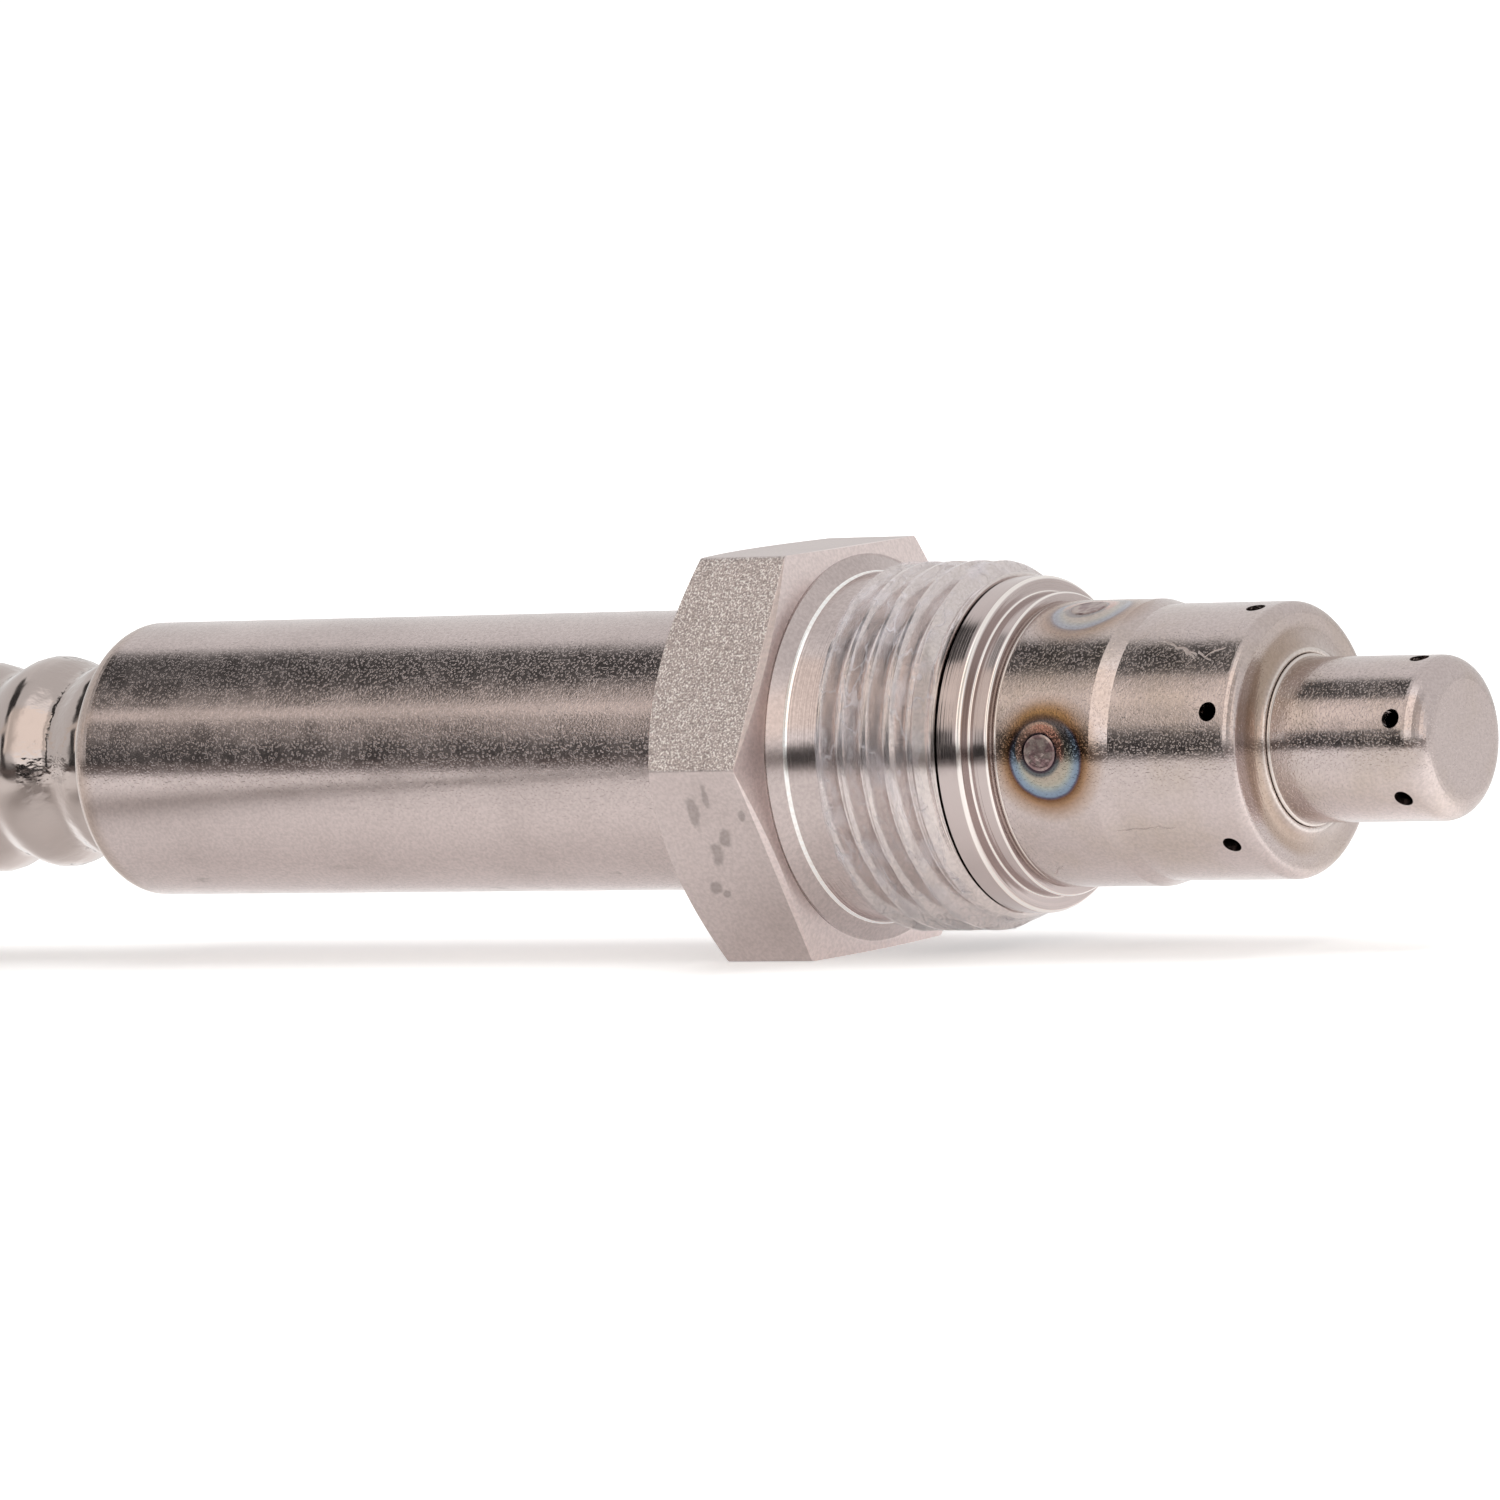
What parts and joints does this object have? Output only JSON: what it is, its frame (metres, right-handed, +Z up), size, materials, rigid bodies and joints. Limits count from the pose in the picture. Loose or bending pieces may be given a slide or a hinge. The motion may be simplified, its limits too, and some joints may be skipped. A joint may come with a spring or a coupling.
{
  "type": "exhaust nitrogen oxide sensor",
  "caption": "Exhaust nitrogen oxide sensor: stepped, perforated steel probe with a loose hexagon union nut, corrugated metal conduit and a flat control unit with a plug socket.",
  "frame": {"origin": "centre of the union nut's thread, on the probe's axis", "axes": "+X along the probe towards its tip, +Z up with a flat of the hexagon facing down, and the control unit on the -Y side"},
  "size_m": [0.2127, 0.1922, 0.0257],
  "materials": {
    "turned_steel": "turned and blasted stainless steel",
    "tube_steel": "drawn stainless steel, satin with straw heat tint at its spot welds",
    "sleeve_steel": "ground stainless steel with fine grain",
    "conduit_steel": "bright corrugated stainless steel",
    "white_ceramic": "fired alumina, matt",
    "zirconia": "sintered zirconia",
    "talc": "pressed talc powder",
    "washer_steel": "soft steel",
    "spring_steel": "spring steel",
    "contact_metal": "gold plated nickel alloy",
    "lead_insulation": "fluoropolymer insulation",
    "clear_film": "thin clear film, milky where it creases",
    "black_rubber": "moulded fluororubber",
    "black_plastic": "glass filled nylon with a fine spark texture",
    "cast_aluminium": "satin sheet aluminium",
    "plated_steel": "zinc nickel plated steel",
    "board_green": "solder mask over glass epoxy",
    "component_black": "moulded epoxy"
  },
  "bodies": {
    "sensor": {"shell": "turned_steel", "outer_tube": "tube_steel", "inner_tube": "tube_steel", "sensing_element": "zirconia", "front_ceramic": "white_ceramic", "talc_ring": "talc", "rear_ceramic": "white_ceramic", "packing_ring": "washer_steel", "contact_block_front": "white_ceramic", "contact_block_rear": "white_ceramic", "terminal_clips": "contact_metal", "retaining_spring": "spring_steel", "lead_wires": "lead_insulation", "seal_plug": "black_rubber", "rear_sleeve": "sleeve_steel", "conduit": "conduit_steel", "gland_nut": "plated_steel", "gland_seal": "black_rubber", "unit_housing": "black_plastic", "base_plate": "cast_aluminium", "base_gasket": "black_rubber", "base_screws": "plated_steel", "ear_bushes": "plated_steel", "circuit_board": "board_green", "board_components": "component_black", "connector_pins": "contact_metal"},
    "nut": {"union_nut": "turned_steel"}
  },
  "joints": [
    {"name": "nut_spin", "type": "hinge", "parent": "sensor", "child": "nut", "pos_m": [0, 0, 0], "axis": [1, 0, 0], "continuous": true}
  ]
}
